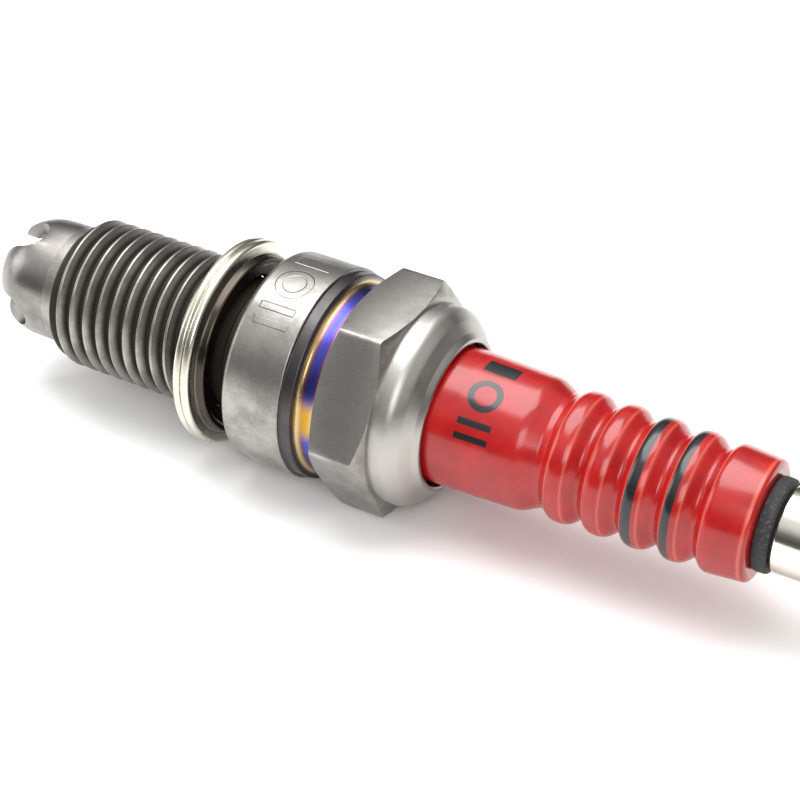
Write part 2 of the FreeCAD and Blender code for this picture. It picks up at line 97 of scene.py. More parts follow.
def make_active(piece: Object) -> None:
    """Select one object alone and make it active."""
    clear_selection()
    piece.select_set(True)
    bpy.context.view_layer.objects.active = piece


def edit(piece: Object) -> None:
    """Open one object alone in edit mode."""
    make_active(piece)
    bpy.ops.object.mode_set(mode="EDIT")


def leave_edit() -> None:
    """Go back to object mode."""
    bpy.ops.object.mode_set(mode="OBJECT")


def apply_place() -> None:
    """Put the active object's place, turn and size into its mesh."""
    bpy.ops.object.transform_apply(location=True, rotation=True, scale=True)


def close_up() -> None:
    """Merge the edited piece's doubles, point its faces outwards and leave edit mode."""
    bpy.ops.mesh.select_all(action="SELECT")
    bpy.ops.mesh.remove_doubles(threshold=MERGE)
    bpy.ops.mesh.normals_make_consistent(inside=False)
    leave_edit()


def apply_modifier(piece: Object, kind: str, settings: dict) -> None:
    """Add a modifier, set it up and apply it.

    Args:
        piece: The object that gets the modifier.
        kind: Blender's name of the modifier type.
        settings: Property names and values of the modifier.
    """
    make_active(piece)
    modifier = piece.modifiers.new(kind.title(), kind)
    for name, value in settings.items():
        setattr(modifier, name, value)
    bpy.ops.object.modifier_apply(modifier=modifier.name)


def soften(piece: Object, width: float, segments: int, degrees: float) -> None:
    """Bevel the edges of a piece that are sharper than an angle.

    Args:
        piece: The piece.
        width: Width of the bevel in millimetres.
        segments: Faces across the bevel.
        degrees: The angle.
    """
    apply_modifier(piece, "BEVEL", {"width": width * MM, "segments": segments, "limit_method": "ANGLE",
                                    "angle_limit": math.radians(degrees)})


def set_radius(vertex: bmesh.types.BMVert, radius: float) -> None:
    """Move a vertex straight in or out to this distance from the axis, in metres."""
    now = math.hypot(vertex.co.y, vertex.co.z)
    vertex.co.y *= radius / now
    vertex.co.z *= radius / now


def rounded(corners: list[tuple[float, ...]], closed: bool = True, detail: int = 5) -> Outline:
    """Round the corners of an outline.

    Args:
        corners: Points of (axial, radial) or (axial, radial, rounding radius), in millimetres.
        closed: Whether the last point joins the first.
        detail: Segments in each rounded corner.

    Returns:
        The outline's points in millimetres.
    """
    points: Outline = []
    count = len(corners)
    for i, corner in enumerate(corners):
        here = Vector(corner[:2])
        radius = corner[2] if len(corner) > 2 else 0.0
        at_end = not closed and i in (0, count - 1)
        if radius <= 0 or at_end:
            points.append((here.x, here.y))
            continue
        to_last = Vector(corners[i - 1][:2]) - here
        to_next = Vector(corners[(i + 1) % count][:2]) - here
        half = to_last.angle(to_next) / 2
        reach = min(radius / math.tan(half), to_last.length * 0.48, to_next.length * 0.48)
        radius = reach * math.tan(half)
        start = here + to_last.normalized() * reach
        end = here + to_next.normalized() * reach
        middle = (to_last.normalized() + to_next.normalized()).normalized()
        centre = here + middle * (radius / math.sin(half))
        first = start - centre
        last = end - centre
        for k in range(detail + 1):
            share = k / detail
            spoke = (first * (1 - share) + last * share).normalized() * radius
            spot = centre + spoke
            points.append((spot.x, spot.y))
    return points


def vertex_chain(name: str, outline: Outline, closed: bool) -> Object:
    """Draw an outline in the XY plane by extruding one vertex from point to point.

    Args:
        name: Name of the new object.
        outline: Points of (axial, radial) in millimetres.
        closed: Whether the last point joins the first.

    Returns:
        The new object, in edit mode with all its vertices selected.
    """
    clear_selection()
    bpy.ops.mesh.primitive_plane_add(size=MM, location=(0, 0, 0))
    piece = bpy.context.object
    piece.name = name
    piece.data.name = name
    bpy.ops.object.mode_set(mode="EDIT")
    bpy.ops.mesh.select_all(action="SELECT")
    bpy.ops.mesh.merge(type="CENTER")
    last = Vector((0, 0, 0))
    for i, (along, radius) in enumerate(outline):
        here = Vector((along * MM, radius * MM, 0))
        if i == 0:
            bpy.ops.transform.translate(value=here)
        else:
            bpy.ops.mesh.extrude_region_move(TRANSFORM_OT_translate={"value": here - last})
        last = here
    if closed:
        mesh = bmesh.from_edit_mesh(piece.data)
        for vertex in mesh.verts:
            vertex.select_set(len(vertex.link_edges) == 1)
        mesh.select_flush_mode()
        bmesh.update_edit_mesh(piece.data)
        bpy.ops.mesh.edge_face_add()
    bpy.ops.mesh.select_all(action="SELECT")
    return piece


def turned(name: str, outline: Outline, closed: bool = True, steps: int = ROUND_STEPS) -> Object:
    """Spin an outline once round the axis of the plug.

    Args:
        name: Name of the new object.
        outline: Points of (axial, radial) in millimetres.
        closed: Whether the outline is a closed loop; an open one starts and ends on the axis.
        steps: Faces round the piece.

    Returns:
        The turned object, closed and with its faces pointing outwards.
    """
    piece = vertex_chain(name, outline, closed)
    bpy.ops.mesh.spin(steps=steps, angle=math.tau, center=(0, 0, 0), axis=(1, 0, 0))
    close_up()
    return piece


def smooth(piece: Object, degrees: float = ROUND_CREASE) -> None:
    """Shade a piece smooth, with edges sharper than this angle kept crisp."""
    make_active(piece)
    bpy.ops.object.shade_smooth_by_angle(angle=math.radians(degrees))


def join(pieces: list[Object], name: str) -> Object:
    """Join two or more closed pieces into one object.

    Args:
        pieces: The pieces, which keep their own surfaces.
        name: Name of the whole.

    Returns:
        The joined object.
    """
    make_active(pieces[0])
    for piece in pieces[1:]:
        piece.select_set(True)
    bpy.ops.object.join()
    whole = bpy.context.object
    whole.name = name
    whole.data.name = name
    return whole


def cut_with(piece: Object, tool: Object, operation: str) -> None:
    """Cut or intersect a piece with a tool, and remove the tool.

    Args:
        piece: The object that changes.
        tool: The object that cuts, which is then gone.
        operation: "DIFFERENCE" or "INTERSECT".
    """
    apply_modifier(piece, "BOOLEAN", {"operation": operation, "object": tool, "solver": "EXACT"})
    bpy.data.objects.remove(tool, do_unlink=True)


def select_in_edit(piece: Object, kind: str, test: Callable[[object], bool]) -> None:
    """Select some of the edited piece's parts and no others.

    Args:
        piece: The object in edit mode.
        kind: "verts", "edges" or "faces".
        test: What a vertex, edge or face has to pass.
    """
    mesh = bmesh.from_edit_mesh(piece.data)
    bpy.ops.mesh.select_all(action="DESELECT")
    for item in getattr(mesh, kind):
        if test(item):
            item.select_set(True)
    bmesh.update_edit_mesh(piece.data)


def threaded_tube(name: str, start: float, end: float, pitch: float, tooth: Outline, inner: float,
                  lead_in: float, crest: float) -> Object:
    """A right-hand thread as a closed tube: a tooth swept by the Screw modifier and cut square at both ends.

    Args:
        name: Name of the new object.
        start: Axial place of the first end, in millimetres.
        end: Axial place of the other end.
        pitch: Thread pitch.
        tooth: One pitch of the thread's section, from groove middle to groove middle.
        inner: Radius of the tube's hidden inside.
        lead_in: Length of the chamfer at both ends.
        crest: Crest radius.

    Returns:
        The threaded tube.
    """
    turns = math.ceil((end - start) / pitch) + 3
    piece = vertex_chain(name, tooth, closed=False)
    leave_edit()
    apply_modifier(piece, "SCREW", {
        "axis": "X", "angle": math.tau, "screw_offset": pitch * MM, "iterations": turns,
        "steps": THREAD_STEPS, "render_steps": THREAD_STEPS, "use_smooth_shade": True,
    })
    edit(piece)
    bpy.ops.mesh.select_all(action="SELECT")
    bpy.ops.mesh.remove_doubles(threshold=MERGE)
    for place, outward in ((start, -1), (end, 1)):
        bpy.ops.mesh.select_all(action="SELECT")
        bpy.ops.mesh.bisect(plane_co=(place * MM, 0, 0), plane_no=(outward, 0, 0), clear_outer=True,
                            use_fill=False, threshold=1e-6)
    mesh = bmesh.from_edit_mesh(piece.data)
    for vertex in mesh.verts:
        radius = math.hypot(vertex.co.y, vertex.co.z)
        from_end = min(vertex.co.x / MM - start, end - vertex.co.x / MM)
        limit = (crest - lead_in + max(from_end, 0.0)) * MM
        if radius > limit:
            set_radius(vertex, limit)
    for place in (start, end):
        for vertex in mesh.verts:
            vertex.select_set(False)
        mesh.select_flush_mode()
        rim = [e for e in mesh.edges if e.is_boundary and
               all(abs(v.co.x / MM - place) < 0.01 for v in e.verts)]
        for edge in rim:
            edge.select_set(True)
        bmesh.update_edit_mesh(piece.data)
        bpy.ops.mesh.extrude_edges_move(TRANSFORM_OT_translate={"value": (0, 0, 0)})
        mesh = bmesh.from_edit_mesh(piece.data)
        for vertex in mesh.verts:
            if vertex.select:
                set_radius(vertex, inner * MM)
        bmesh.update_edit_mesh(piece.data)
    for edge in mesh.edges:
        edge.select_set(edge.is_boundary)
    bmesh.update_edit_mesh(piece.data)
    bpy.ops.mesh.bridge_edge_loops()
    close_up()
    return piece


def thread_tooth(start: float, pitch: float, crest: float, root: float) -> Outline:
    """One pitch of a thread, with a round root and a softened crest.

    Args:
        start: Axial place of the groove's middle.
        pitch: Thread pitch.
        crest: Crest radius.
        root: Root radius.

    Returns:
        Points from one groove's middle to the next, in millimetres.
    """
    corners = [
        (start, root),
        (start + pitch * 0.09, root, pitch * 0.12),
        (start + pitch * 0.43, crest, pitch * 0.07),
        (start + pitch * 0.57, crest, pitch * 0.07),
        (start + pitch * 0.91, root, pitch * 0.12),
        (start + pitch, root),
    ]
    return rounded(corners, closed=False, detail=3)


# ----------------------------------------
# Shader building
# ----------------------------------------


class NodeChain:
    """Short calls that add and link shader nodes in one tree."""

    def __init__(self, tree: NodeTree) -> None:
        """Work in this node tree."""
        self.tree = tree

    def add(self, kind: str, **settings) -> Node:
        """Add a node and set its properties."""
        node = self.tree.nodes.new(kind)
        for name, value in settings.items():
            setattr(node, name, value)
        return node

    def feed(self, socket: NodeSocket, value) -> None:
        """Link a socket, or give it its own value, a colour as red, green and blue."""
        if isinstance(value, NodeSocket):
            self.tree.links.new(value, socket)
        elif socket.type == "RGBA":
            socket.default_value = (*value, 1.0)
        else:
            socket.default_value = value

    def feed_all(self, node: Node, values: dict) -> None:
        """Feed several inputs of a node by name."""
        for name, value in values.items():
            self.feed(node.inputs[name], value)

    def math(self, operation: str, *values, clamp: bool = False) -> NodeSocket:
        """A Math node over one to three values."""
        node = self.add("ShaderNodeMath", operation=operation, use_clamp=clamp)
        for socket, value in zip(node.inputs, values):
            self.feed(socket, value)
        return node.outputs[0]

    def times(self, first, second) -> NodeSocket:
        """The product of two values."""
        return self.math("MULTIPLY", first, second)

    def most(self, first, second) -> NodeSocket:
        """The larger of two values."""
        return self.math("MAXIMUM", first, second)

    def step(self, value, low: float, high: float) -> NodeSocket:
        """A smooth step from 0 at low to 1 at high."""
        node = self.add("ShaderNodeMapRange", interpolation_type="SMOOTHSTEP")
        self.feed_all(node, {"Value": value, "From Min": low, "From Max": high})
        return node.outputs[0]

    def band(self, value, low: float, high: float, soft: float) -> NodeSocket:
        """A mask that is 1 between low and high, with edges that fade over soft on both sides."""
        rise = self.step(value, low - soft, low + soft)
        fall = self.step(value, high + soft, high - soft)
        return self.times(rise, fall)

    def mix(self, share, first, second) -> NodeSocket:
        """Mix two colours by a share."""
        node = self.add("ShaderNodeMix", data_type="RGBA")
        for place, value in ((0, share), (6, first), (7, second)):
            self.feed(node.inputs[place], value)
        return node.outputs[2]

    def noise(self, place, scale: float, detail: float, rough: float) -> NodeSocket:
        """A noise value at a place."""
        node = self.add("ShaderNodeTexNoise")
        self.feed_all(node, {"Vector": place, "Scale": scale, "Detail": detail, "Roughness": rough})
        return node.outputs["Fac"]

    def ramp(self, value, stops: list[tuple[float, Colour]]) -> NodeSocket:
        """A colour ramp with these stops."""
        node = self.add("ShaderNodeValToRGB")
        self.feed(node.inputs[0], value)
        elements = node.color_ramp.elements
        while len(elements) < len(stops):
            elements.new(1.0)
        for element, (place, colour) in zip(elements, stops):
            element.position = place
            element.color = (*colour, 1.0)
        return node.outputs[0]

    def group(self, tree: NodeTree, **values) -> Node:
        """Place a node group with its own input values."""
        node = self.add("ShaderNodeGroup", node_tree=tree)
        self.feed_all(node, values)
        return node


def new_group(name: str, inputs: dict[str, float], outputs: list[str]) -> tuple:
    """Start a node group of plain values.

    Args:
        name: Name of the group.
        inputs: Input names and their defaults.
        outputs: Output names.

    Returns:
        The tree, a NodeChain in it, its input node and its output node.
    """
    tree = bpy.data.node_groups.new(name, "ShaderNodeTree")
    for label, value in inputs.items():
        socket = tree.interface.new_socket(label, in_out="INPUT", socket_type="NodeSocketFloat")
        socket.default_value = value
    for label in outputs:
        tree.interface.new_socket(label, in_out="OUTPUT", socket_type="NodeSocketFloat")
    chain = NodeChain(tree)
    return tree, chain, chain.add("NodeGroupInput"), chain.add("NodeGroupOutput")


def axis_group() -> NodeTree:
    """Where a point is: millimetres along the axis and away from it, and its turn in half circles."""
    tree, chain, _, out = new_group("plug_axis", {}, ["Along", "Radius", "Turn"])
    split = chain.add("ShaderNodeSeparateXYZ")
    chain.feed(split.inputs[0], chain.add("ShaderNodeTexCoord").outputs["Object"])
    along, across, up = (chain.times(split.outputs[name], MM_PER_M) for name in "XYZ")
    squares = chain.math("ADD", chain.times(across, across), chain.times(up, up))
    turn = chain.math("DIVIDE", chain.math("ARCTAN2", across, up), math.pi)
    chain.feed_all(out, {"Along": along, "Radius": chain.math("SQRT", squares), "Turn": turn})
    return tree


def grain_group() -> NodeTree:
    """Lathe rings and fine plating grain: a height for bump and a soft mottle for colour and roughness."""
    inputs = {"Rings": 0.5, "Grain": 0.5}
    tree, chain, given, out = new_group("machined_grain", inputs, ["Height", "Mottle", "Speck"])
    place = chain.add("ShaderNodeTexCoord").outputs["Object"]
    stretch = chain.add("ShaderNodeMapping")
    chain.feed_all(stretch, {"Vector": place, "Scale": (26.0, 0.6, 0.6)})
    rings = chain.noise(stretch.outputs[0], 260.0, 4.0, 0.7)
    fine = chain.noise(place, 5200.0, 2.0, 0.6)
    soft = chain.noise(place, 420.0, 4.0, 0.6)
    height = chain.math("ADD", chain.times(rings, given.outputs["Rings"]),
                        chain.times(fine, given.outputs["Grain"]))
    chain.feed_all(out, {"Height": height, "Mottle": soft, "Speck": fine})
    return tree


def marks_group() -> NodeTree:
    """Plain marks in a row, laid out in millimetres: a ring with a pair of bars and a block beside it."""
    tree, chain, given, out = new_group("plain_marks", {"Along": 0.0, "Across": 0.0}, ["Mask"])
    along = given.outputs["Along"]
    across = given.outputs["Across"]
    squares = chain.math("ADD", chain.times(along, along), chain.times(across, across))
    mark = chain.band(chain.math("SQRT", squares), 0.8, 1.3, INK_SOFT)
    row = chain.band(along, -1.3, 1.3, INK_SOFT)
    for low, high in ((-3.6, -3.1), (-2.5, -2.0), (2.1, 3.5)):
        mark = chain.most(mark, chain.times(row, chain.band(across, low, high, INK_SOFT)))
    chain.feed(out.inputs["Mask"], mark)
    return tree


@dataclass(frozen=True)
class Finish:
    """A material whose colour, roughness and bump come from its subclass."""

    name: str
    roughness: float = 0.3
    metallic: float = 1.0
    bump: float = 0.15
    bump_depth: float = 0.00002

    def build(self, groups: Groups) -> Material:
        """Make the material and feed its Principled shader."""
        material = bpy.data.materials.new(self.name)
        material.use_nodes = True
        chain = NodeChain(material.node_tree)
        colour, rough, height = self.layers(chain, groups)
        bump = chain.add("ShaderNodeBump")
        chain.feed_all(bump, {"Strength": self.bump, "Distance": self.bump_depth, "Height": height})
        chain.feed_all(material.node_tree.nodes["Principled BSDF"], {
            "Base Color": colour, "Roughness": rough, "Metallic": self.metallic, "Normal": bump.outputs[0],
        })
        return material

    def layers(self, chain: NodeChain, groups: Groups) -> Layers:
        """Build the colour, the roughness and the height of the bump."""
        raise NotImplementedError


@dataclass(frozen=True)
class PlainMetal(Finish):
    """Metal with lathe rings, grain and a slow change of tone."""

    light: Colour = (0.72, 0.70, 0.66)
    dark: Colour = (0.48, 0.46, 0.42)
    rings: float = 0.6
    grain: float = 0.5

    def layers(self, chain: NodeChain, groups: Groups) -> Layers:
        """Mix the two tones by the mottle, and vary the roughness with it."""
        grain = chain.group(groups["grain"], Rings=self.rings, Grain=self.grain)
        mottle = chain.step(grain.outputs["Mottle"], 0.3, 0.7)
        rough = chain.math("MULTIPLY_ADD", mottle, -self.roughness * 0.35, self.roughness * 1.15)
        return chain.mix(mottle, self.dark, self.light), rough, grain.outputs["Height"]


@dataclass(frozen=True)
class FoldedPlate(PlainMetal):
    """Bright plate on the folds, with painted shade, near black, in towards the bore."""

    # painted shade: near-black colour for the gasket in towards the bore
    bore_shade: Colour = (0.06, 0.05, 0.04)
    bore_shade_radius: float = 7.2

    def layers(self, chain: NodeChain, groups: Groups) -> Layers:
        """Lay painted shade over the plain metal inside the folds, in towards the bore."""
        plate, rough, height = super().layers(chain, groups)
        radius = chain.group(groups["axis"]).outputs["Radius"]
        # painted shade: darkens everything inside this radius
        inside = chain.step(radius, self.bore_shade_radius + 0.15, self.bore_shade_radius - 0.15)
        return chain.mix(inside, plate, self.bore_shade), rough, height


@dataclass(frozen=True)
class ShellPlate(Finish):
    """Nickel plate of the shell, with painted shade in the thread roots and on the neck, a dark step and a
    heat-tinted groove.
    """

    light: Colour = (0.36, 0.345, 0.325)
    dark: Colour = (0.22, 0.21, 0.195)
    # painted shade: near-black colour for the thread roots and the neck
    painted_shade: Colour = (0.030, 0.024, 0.016)
    step: Colour = (0.05, 0.048, 0.05)
    lip: Colour = (0.40, 0.385, 0.36)
    thread_root: float = 5.3
    thread_crest: float = 5.93
    thread_start: float = -17.8
    thread_end: float = -4.2
    step_start: float = 5.0
    step_end: float = 5.92
    groove_end: float = 7.75
    collar: float = 8.25
    lip_fade: tuple[float, float] = (12.1, 12.3)
    neck_fade: tuple[float, float] = (6.6, 5.6)
    groove_fade: tuple[float, float] = (7.9, 7.6)
    collar_fade: tuple[float, float] = (8.1, 8.2)
    marks_scale: float = 0.9
    marks_shift: tuple[float, float] = (-2.3, 1.3)
    marks_depth: float = 9.0

    def layers(self, chain: NodeChain, groups: Groups) -> Layers:
        """Layer painted shade, the dark step and heat tint over the plate."""
        axis = chain.group(groups["axis"])
        along = axis.outputs["Along"]
        radius = axis.outputs["Radius"]
        turn = axis.outputs["Turn"]
        grain = chain.group(groups["grain"], Rings=0.55, Grain=0.6)
        mottle = chain.step(grain.outputs["Mottle"], 0.3, 0.7)
        plate = chain.math("MULTIPLY_ADD", grain.outputs["Speck"], 0.9, -0.45)
        plate = chain.math("ADD", mottle, plate, clamp=True)
        painted_shade = self.painted_shade_mask(chain, along, radius)
        in_groove = chain.times(chain.band(along, self.step_end, self.groove_end, 0.04),
                                chain.step(radius, *self.groove_fade))
        on_step = chain.band(along, self.step_start, self.step_end, 0.05)
        colour = chain.mix(plate, self.dark, self.light)
        colour = chain.mix(chain.step(along, *self.lip_fade), colour, self.lip)
        # painted shade: darkens the thread roots and the neck to near black, and roughens them
        colour = chain.mix(chain.times(painted_shade, 0.93), colour, self.painted_shade)
        colour = chain.mix(in_groove, colour, self.heat_tint(chain, along, turn))
        colour = chain.mix(chain.times(on_step, 0.9), colour, self.step)
        rough = chain.math("MULTIPLY_ADD", mottle, -0.1, self.roughness + 0.05)
        rough = chain.math("ADD", rough, chain.times(painted_shade, 0.3))
        rough = chain.math("SUBTRACT", rough, chain.times(in_groove, 0.1))
        scale = self.marks_scale
        shift_along, shift_across = self.marks_shift
        marks = chain.group(groups["marks"], Along=chain.math("MULTIPLY_ADD", along, scale, shift_along),
                            Across=chain.math("MULTIPLY_ADD", turn, math.pi * self.collar * scale,
                                              shift_across))
        on_collar = chain.times(marks.outputs["Mask"], chain.step(radius, *self.collar_fade))
        on_collar = chain.times(on_collar, chain.band(along, 0.0, self.step_start, 0.01))
        height = chain.math("MULTIPLY_ADD", on_collar, self.marks_depth, grain.outputs["Height"])
        return colour, rough, height

    def painted_shade_mask(self, chain: NodeChain, along, radius) -> NodeSocket:
        """Where shade is painted: down in the thread roots and on the neck."""
        deep = chain.step(radius, self.thread_crest - 0.08, self.thread_root + 0.06)
        in_thread = chain.step(along, self.thread_end + 0.3, self.thread_end - 0.1)
        past_nose = chain.step(along, self.thread_start - 0.1, self.thread_start + 0.1)
        on_neck = chain.times(chain.band(along, self.thread_end, 0.05, 0.1),
                              chain.step(radius, *self.neck_fade))
        return chain.most(chain.times(chain.times(deep, in_thread), past_nose), on_neck)

    def heat_tint(self, chain: NodeChain, along, turn) -> NodeSocket:
        """Temper colours across the groove, which drift towards amber on one side."""
        across = chain.math("DIVIDE", chain.math("SUBTRACT", along, self.step_end),
                            self.groove_end - self.step_end)
        blue = chain.ramp(across, [
            (0.0, (0.60, 0.52, 0.36)), (0.14, (0.40, 0.24, 0.08)), (0.28, (0.12, 0.06, 0.22)),
            (0.52, (0.04, 0.07, 0.42)), (0.7, (0.13, 0.06, 0.26)), (0.84, (0.45, 0.28, 0.09)),
            (1.0, (0.66, 0.56, 0.38)),
        ])
        amber = chain.ramp(across, [
            (0.0, (0.55, 0.45, 0.28)), (0.3, (0.38, 0.20, 0.03)), (0.6, (0.44, 0.26, 0.04)),
            (1.0, (0.60, 0.50, 0.30)),
        ])
        return chain.mix(chain.band(turn, -0.52, -0.40, 0.035), blue, amber)


@dataclass(frozen=True)
class RedGlaze(Finish):
    """Glossy red glaze with fired black bands and plain black marks."""

    metallic: float = 0.0
    roughness: float = 0.19
    coat: float = 0.08
    coat_roughness: float = 0.04
    red: Colour = (0.40, 0.010, 0.010)
    deep_red: Colour = (0.28, 0.006, 0.006)
    salmon: Colour = (0.66, 0.14, 0.09)
    black: Colour = (0.012, 0.012, 0.014)
    bands: tuple[tuple[float, float], ...] = ((30.5, 31.3), (33.38, 34.05))
    barrel: float = 5.2
    marks_middle: float = 18.8
    marks_shift: float = 2.45
    marks_span: tuple[float, float] = (16.5, 22.0)
    first_rib: float = 24.85
    rib_pitch: float = 2.87
    rib_edges: tuple[tuple[float, float, float], ...] = ((0.93, 0.97, 0.03), (0.36, 0.40, 0.04))
    cap_end: float = 39.48

    def build(self, groups: Groups) -> Material:
        """Make the material, with a thin clear coat."""
        material = super().build(groups)
        shader = material.node_tree.nodes["Principled BSDF"]
        shader.inputs["IOR"].default_value = 1.5
        shader.inputs["Coat Weight"].default_value = self.coat
        shader.inputs["Coat Roughness"].default_value = self.coat_roughness
        return material

    def layers(self, chain: NodeChain, groups: Groups) -> Layers:
        """Colour the glaze, then print the marks and the bands."""
        axis = chain.group(groups["axis"])
        along = axis.outputs["Along"]
        grain = chain.group(groups["grain"], Rings=0.2, Grain=0.1)
        mottle = chain.step(grain.outputs["Mottle"], 0.25, 0.75)
        colour = chain.mix(mottle, self.deep_red, self.red)
        colour = chain.mix(chain.times(self.thin_edges(chain, along), 0.6), colour, self.salmon)
        marks = chain.group(groups["marks"], Along=chain.math("SUBTRACT", along, self.marks_middle),
                            Across=chain.math("MULTIPLY_ADD", axis.outputs["Turn"],
                                              math.pi * self.barrel, self.marks_shift))
        ink = chain.times(marks.outputs["Mask"], chain.band(along, *self.marks_span, 0.1))
        for low, high in self.bands:
            ink = chain.most(ink, chain.band(along, low, high, INK_SOFT))
        colour = chain.mix(ink, colour, self.black)
        rough = chain.math("MULTIPLY_ADD", mottle, 0.05, self.roughness)
        return colour, rough, grain.outputs["Mottle"]

    def thin_edges(self, chain: NodeChain, along) -> NodeSocket:
        """Where the glaze runs thin and pale: both edges of each rib, and the cap's end."""
        count = chain.math("DIVIDE", chain.math("SUBTRACT", along, self.first_rib), self.rib_pitch)
        share = chain.math("FRACT", count)
        edges = chain.most(*(chain.band(share, *edge) for edge in self.rib_edges))
        ribs = chain.band(along, self.first_rib - 1.0, self.first_rib + self.rib_pitch * 4, 0.1)
        end = chain.band(along, self.cap_end - 0.5, self.cap_end - 0.3, 0.12)
        return chain.most(chain.times(edges, ribs), end)


@dataclass(frozen=True)
class Rubber(Finish):
    """Matte black rubber with a fine grey speckle."""

    metallic: float = 0.0
    roughness: float = 0.72
    bump: float = 0.5
    dark: Colour = (0.018, 0.018, 0.02)
    pale: Colour = (0.075, 0.072, 0.072)

    def layers(self, chain: NodeChain, groups: Groups) -> Layers:
        """Scatter pale specks over the black."""
        grain = chain.group(groups["grain"], Rings=0.0, Grain=1.0)
        speck = chain.step(grain.outputs["Speck"], 0.5, 0.72)
        rough = chain.math("MULTIPLY_ADD", speck, 0.15, self.roughness)
        return chain.mix(speck, self.dark, self.pale), rough, grain.outputs["Height"]


@dataclass(frozen=True)
class Mineral(Finish):
    """Dull pressed powder or fused glass."""

    metallic: float = 0.0
    roughness: float = 0.8
    light: Colour = (0.8, 0.79, 0.75)
    dark: Colour = (0.6, 0.59, 0.55)

    def layers(self, chain: NodeChain, groups: Groups) -> Layers:
        """Mix the two tones and roughen."""
        grain = chain.group(groups["grain"], Rings=0.0, Grain=1.0)
        mottle = chain.step(grain.outputs["Mottle"], 0.3, 0.7)
        rough = chain.math("MULTIPLY_ADD", mottle, 0.1, self.roughness - 0.05)
        return chain.mix(mottle, self.dark, self.light), rough, grain.outputs["Height"]


class Finishes:
    """Every material of the plug, each built once."""

    def __init__(self) -> None:
        """Build the shared groups and all materials."""
        groups = {"axis": axis_group(), "grain": grain_group(), "marks": marks_group()}
        self.steel = ShellPlate("shell_plate", roughness=0.37, bump=0.45).build(groups)
        self.crown = PlainMetal("crown_alloy", roughness=0.36, bump=0.3, rings=0.1, grain=1.0,
                                light=(0.30, 0.285, 0.27), dark=(0.19, 0.18, 0.17)).build(groups)
        self.gasket = FoldedPlate("gasket_zinc", roughness=0.26, bump=0.15, rings=0.4, grain=0.4,
                                  light=(0.74, 0.72, 0.62), dark=(0.56, 0.54, 0.46)).build(groups)
        self.glaze = RedGlaze("red_glaze", bump=0.03).build(groups)
        self.rubber = Rubber("black_rubber").build(groups)
        self.nickel = PlainMetal("polished_nickel", roughness=0.13, bump=0.08, rings=0.6, grain=0.2,
                                 light=(0.78, 0.76, 0.68), dark=(0.68, 0.65, 0.57)).build(groups)
        self.stud = PlainMetal("stud_steel", roughness=0.25, bump=0.15).build(groups)
        self.packing = PlainMetal("packing_steel", roughness=0.4, bump=0.2, light=(0.5, 0.5, 0.5),
                                  dark=(0.36, 0.36, 0.36)).build(groups)
        self.copper = PlainMetal("copper", roughness=0.3, bump=0.2, light=(0.90, 0.46, 0.30),
                                 dark=(0.70, 0.30, 0.18)).build(groups)
        self.talc = Mineral("talc").build(groups)
        self.seal = Mineral("seal_glass", roughness=0.3, light=(0.20, 0.18, 0.17),
                            dark=(0.10, 0.09, 0.09)).build(groups)
        self.resistor = Mineral("resistor_mix", roughness=0.6, light=(0.08, 0.08, 0.08),
                                dark=(0.03, 0.03, 0.03)).build(groups)


# ----------------------------------------
# Sub-assemblies
# ----------------------------------------


def dress(piece: Object, material: Material, body: Body,
          nodes: list[str]) -> None:
    """Give a finished piece its material and body, and hide the nodes that it stands for.

    Args:
        piece: The finished piece.
        material: Its material.
        body: The body that it rides on.
        nodes: The model's nodes that it replaces.
    """
    piece.data.materials.clear()
    piece.data.materials.append(material)
    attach(piece, body.value)
    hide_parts(*nodes)
    LOG.info("%s: %d faces on %s", piece.name, len(piece.data.polygons), body.value)


